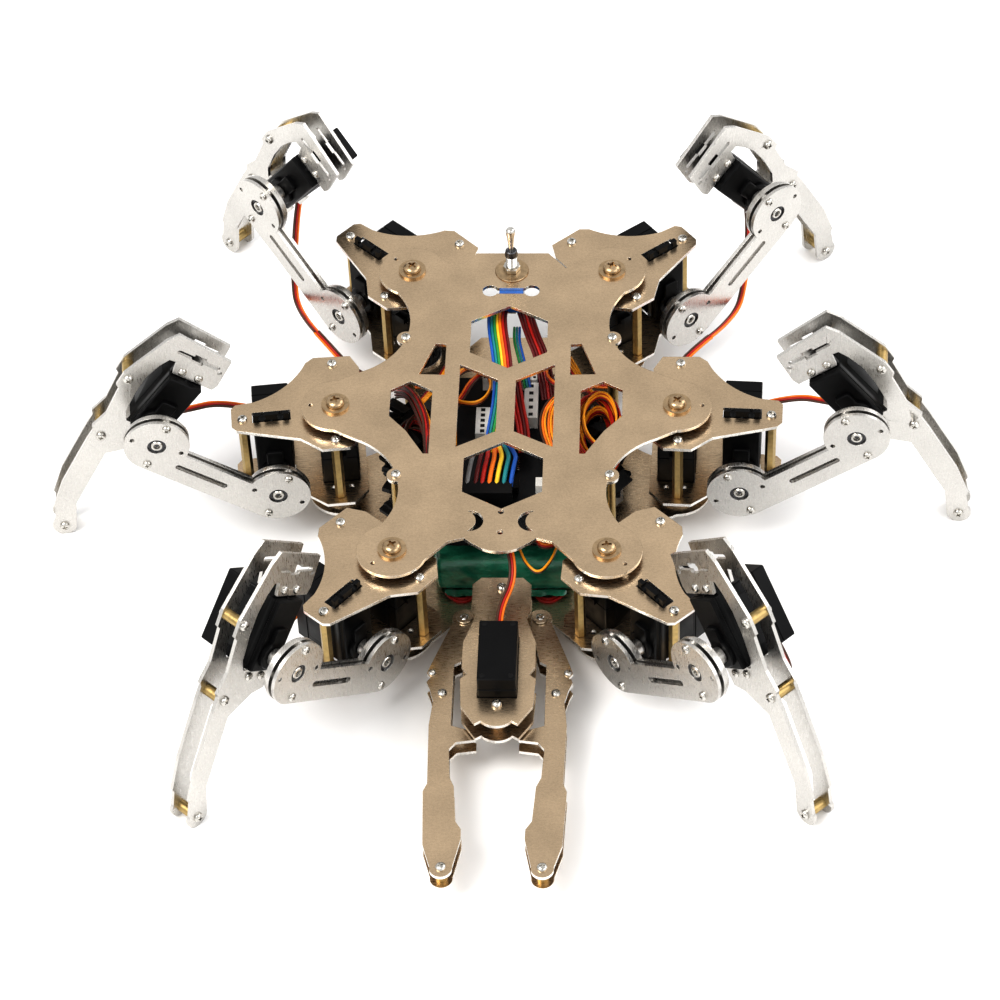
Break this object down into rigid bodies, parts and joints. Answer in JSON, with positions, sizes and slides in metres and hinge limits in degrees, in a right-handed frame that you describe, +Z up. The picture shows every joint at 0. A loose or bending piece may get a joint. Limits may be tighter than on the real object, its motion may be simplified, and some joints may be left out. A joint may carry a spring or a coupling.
{
  "type": "six-legged walking robot kit with gripper",
  "caption": "Six-legged walking robot kit of punched aluminium plates with servo-driven three-joint legs, an open twin-plate body and a front two-finger gripper.",
  "frame": {"origin": "on the floor, midway between the robot's outermost ends along X and along Y, under the feet's soles", "axes": "+Z up; the gripper points along -Y; +X is across the robot, towards the right legs when it is seen from behind; the left legs are on the -X side"},
  "size_m": [0.5051, 0.4966, 0.1432],
  "materials": {
    "body_plate": "brushed, warm silver",
    "leg_plate": "brushed, bright silver",
    "servo": "moulded, satin black",
    "brass": "turned, satin",
    "switch_metal": "plated",
    "board": "black solder mask",
    "battery": "green shrink film",
    "lead": "flat three-core servo lead"
  },
  "bodies": {
    "body": {"top_plate": "body_plate", "bottom_plate": "body_plate", "body_standoffs": "brass", "pivot_bushes": "brass", "swing_horns": "leg_plate", "toggle_switch": "switch_metal", "controller_board": "board", "battery_pack": "battery", "gripper_frame": "body_plate", "gripper_servo": "servo", "gripper_lead": "lead", "rear_left_body_lead": "lead", "rear_right_body_lead": "lead"},
    "front_left_coxa": {"front_left_coxa_plates": "body_plate", "front_left_coxa_servos": "servo", "front_left_coxa_hardware": "brass"},
    "front_left_femur": {"front_left_femur": "leg_plate"},
    "front_left_tibia": {"front_left_tibia": "leg_plate", "front_left_knee_servo": "servo", "front_left_knee_lead": "lead"},
    "front_right_coxa": {"front_right_coxa_plates": "body_plate", "front_right_coxa_servos": "servo", "front_right_coxa_hardware": "brass"},
    "front_right_femur": {"front_right_femur": "leg_plate"},
    "front_right_tibia": {"front_right_tibia": "leg_plate", "front_right_knee_servo": "servo", "front_right_knee_lead": "lead"},
    "mid_left_coxa": {"mid_left_coxa_plates": "body_plate", "mid_left_coxa_servos": "servo", "mid_left_coxa_hardware": "brass"},
    "mid_left_femur": {"mid_left_femur": "leg_plate"},
    "mid_left_tibia": {"mid_left_tibia": "leg_plate", "mid_left_knee_servo": "servo", "mid_left_knee_lead": "lead"},
    "mid_right_coxa": {"mid_right_coxa_plates": "body_plate", "mid_right_coxa_servos": "servo", "mid_right_coxa_hardware": "brass"},
    "mid_right_femur": {"mid_right_femur": "leg_plate"},
    "mid_right_tibia": {"mid_right_tibia": "leg_plate", "mid_right_knee_servo": "servo", "mid_right_knee_lead": "lead"},
    "rear_left_coxa": {"rear_left_coxa_plates": "body_plate", "rear_left_coxa_servos": "servo", "rear_left_coxa_hardware": "brass"},
    "rear_left_femur": {"rear_left_femur": "leg_plate"},
    "rear_left_tibia": {"rear_left_tibia": "leg_plate", "rear_left_knee_servo": "servo", "rear_left_knee_lead": "lead"},
    "rear_right_coxa": {"rear_right_coxa_plates": "body_plate", "rear_right_coxa_servos": "servo", "rear_right_coxa_hardware": "brass"},
    "rear_right_femur": {"rear_right_femur": "leg_plate"},
    "rear_right_tibia": {"rear_right_tibia": "leg_plate", "rear_right_knee_servo": "servo", "rear_right_knee_lead": "lead"},
    "finger_left": {"finger_left": "body_plate"},
    "finger_right": {"finger_right": "body_plate"},
    "drive_arm": {"drive_arm": "leg_plate"},
    "switch_lever": {"switch_lever": "switch_metal"}
  },
  "joints": [
    {"name": "front_left_swing", "type": "hinge", "parent": "body", "child": "front_left_coxa", "pos_m": [-0.0556, -0.0761, 0.06], "axis": [0, 0, 1], "range_deg": [-20, 3]},
    {"name": "front_left_lift", "type": "hinge", "parent": "front_left_coxa", "child": "front_left_femur", "pos_m": [-0.07819, -0.10283, 0.0394], "axis": [-0.7638, 0.6455, 0], "range_deg": [-35, 30]},
    {"name": "front_left_knee", "type": "hinge", "parent": "front_left_femur", "child": "front_left_tibia", "pos_m": [-0.11764, -0.14952, 0.08557], "axis": [-0.7638, 0.6455, 0], "range_deg": [-40, 25], "deforming": ["front_left_knee_lead"]},
    {"name": "front_right_swing", "type": "hinge", "parent": "body", "child": "front_right_coxa", "pos_m": [0.0556, -0.0761, 0.06], "axis": [0, 0, 1], "range_deg": [-4, 18]},
    {"name": "front_right_lift", "type": "hinge", "parent": "front_right_coxa", "child": "front_right_femur", "pos_m": [0.07925, -0.1019, 0.0394], "axis": [-0.7373, -0.6756, 0], "range_deg": [-35, 30]},
    {"name": "front_right_knee", "type": "hinge", "parent": "front_right_femur", "child": "front_right_tibia", "pos_m": [0.12054, -0.14697, 0.08557], "axis": [-0.7373, -0.6756, 0], "range_deg": [-40, 25], "deforming": ["front_right_knee_lead"]},
    {"name": "mid_left_swing", "type": "hinge", "parent": "body", "child": "mid_left_coxa", "pos_m": [-0.0918, 0.0287, 0.06], "axis": [0, 0, 1], "range_deg": [-18, 18]},
    {"name": "mid_left_lift", "type": "hinge", "parent": "mid_left_coxa", "child": "mid_left_femur", "pos_m": [-0.12652, 0.02431, 0.0394], "axis": [-0.1253, 0.9921, 0], "range_deg": [-35, 30]},
    {"name": "mid_left_knee", "type": "hinge", "parent": "mid_left_femur", "child": "mid_left_tibia", "pos_m": [-0.18716, 0.01665, 0.08557], "axis": [-0.1253, 0.9921, 0], "range_deg": [-40, 25], "deforming": ["mid_left_knee_lead"]},
    {"name": "mid_right_swing", "type": "hinge", "parent": "body", "child": "mid_right_coxa", "pos_m": [0.0918, 0.0287, 0.06], "axis": [0, 0, 1], "range_deg": [-18, 18]},
    {"name": "mid_right_lift", "type": "hinge", "parent": "mid_right_coxa", "child": "mid_right_femur", "pos_m": [0.12675, 0.02681, 0.0394], "axis": [-0.0541, -0.9985, 0], "range_deg": [-35, 30]},
    {"name": "mid_right_knee", "type": "hinge", "parent": "mid_right_femur", "child": "mid_right_tibia", "pos_m": [0.18778, 0.0235, 0.08557], "axis": [-0.0541, -0.9985, 0], "range_deg": [-40, 25], "deforming": ["mid_right_knee_lead"]},
    {"name": "rear_left_swing", "type": "hinge", "parent": "body", "child": "rear_left_coxa", "pos_m": [-0.0556, 0.1335, 0.06], "axis": [0, 0, 1], "range_deg": [-18, 18], "deforming": ["rear_left_body_lead"]},
    {"name": "rear_left_lift", "type": "hinge", "parent": "rear_left_coxa", "child": "rear_left_femur", "pos_m": [-0.08169, 0.15683, 0.0394], "axis": [0.6665, 0.7455, 0], "range_deg": [-35, 30]},
    {"name": "rear_left_knee", "type": "hinge", "parent": "rear_left_femur", "child": "rear_left_tibia", "pos_m": [-0.12726, 0.19757, 0.08557], "axis": [0.6665, 0.7455, 0], "range_deg": [-40, 25], "deforming": ["rear_left_knee_lead"]},
    {"name": "rear_right_swing", "type": "hinge", "parent": "body", "child": "rear_right_coxa", "pos_m": [0.0556, 0.1335, 0.06], "axis": [0, 0, 1], "range_deg": [-18, 18], "deforming": ["rear_right_body_lead"]},
    {"name": "rear_right_lift", "type": "hinge", "parent": "rear_right_coxa", "child": "rear_right_femur", "pos_m": [0.08314, 0.1551, 0.0394], "axis": [0.617, -0.7869, 0], "range_deg": [-35, 30]},
    {"name": "rear_right_knee", "type": "hinge", "parent": "rear_right_femur", "child": "rear_right_tibia", "pos_m": [0.13124, 0.19281, 0.08557], "axis": [0.617, -0.7869, 0], "range_deg": [-40, 25], "deforming": ["rear_right_knee_lead"]},
    {"name": "finger_left_turn", "type": "hinge", "parent": "body", "child": "finger_left", "pos_m": [-0.02, -0.0783, 0.021], "axis": [0, 0, 1], "range_deg": [-10, 6]},
    {"name": "finger_right_turn", "type": "hinge", "parent": "body", "child": "finger_right", "pos_m": [0.02, -0.0783, 0.021], "axis": [0, 0, 1], "range_deg": [-6, 10]},
    {"name": "drive_arm_turn", "type": "hinge", "parent": "body", "child": "drive_arm", "pos_m": [0, -0.1152, 0.014], "axis": [0, 0, 1], "range_deg": [-10, 6]},
    {"name": "switch_tilt", "type": "hinge", "parent": "body", "child": "switch_lever", "pos_m": [0, 0.1335, 0.0885], "axis": [1, 0, 0], "range_deg": [-10, 10]}
  ],
  "couplings": [
    {"joint": "finger_right_turn", "follows": "finger_left_turn", "ratio": -1},
    {"joint": "drive_arm_turn", "follows": "finger_left_turn", "ratio": 1}
  ]
}
